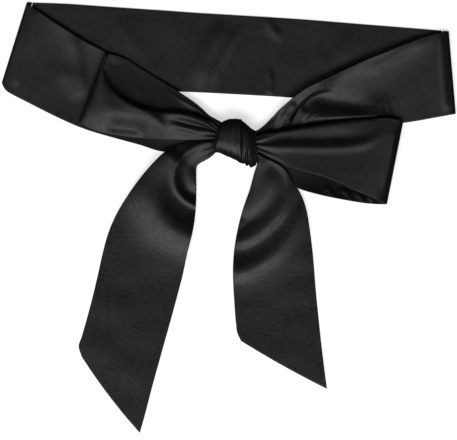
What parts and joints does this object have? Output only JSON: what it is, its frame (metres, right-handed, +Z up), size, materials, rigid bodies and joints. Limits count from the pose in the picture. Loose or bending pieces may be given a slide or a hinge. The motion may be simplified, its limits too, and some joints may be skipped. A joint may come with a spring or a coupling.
{
  "type": "sash belt",
  "caption": "Long satin sash tied in a soft bow and laid flat: a folded waist loop, two bow loops, a wrapped knot and two slant-cut tails.",
  "frame": {"origin": "centre of the sash's outline, on the surface that it lies on", "axes": "+Z up from that surface, +X towards the right side fold, +Y towards the stretch behind the waist; the tails point to -Y"},
  "size_m": [0.4547, 0.431, 0.0246],
  "materials": {
    "black_satin": "black satin with a soft sheen"
  },
  "bodies": {
    "root": {"waist_back": "black_satin", "waist_front_left": "black_satin", "waist_front_right": "black_satin", "bow_loop_left": "black_satin", "bow_loop_right": "black_satin", "knot": "black_satin", "tail_left": "black_satin", "tail_right": "black_satin"}
  },
  "joints": []
}
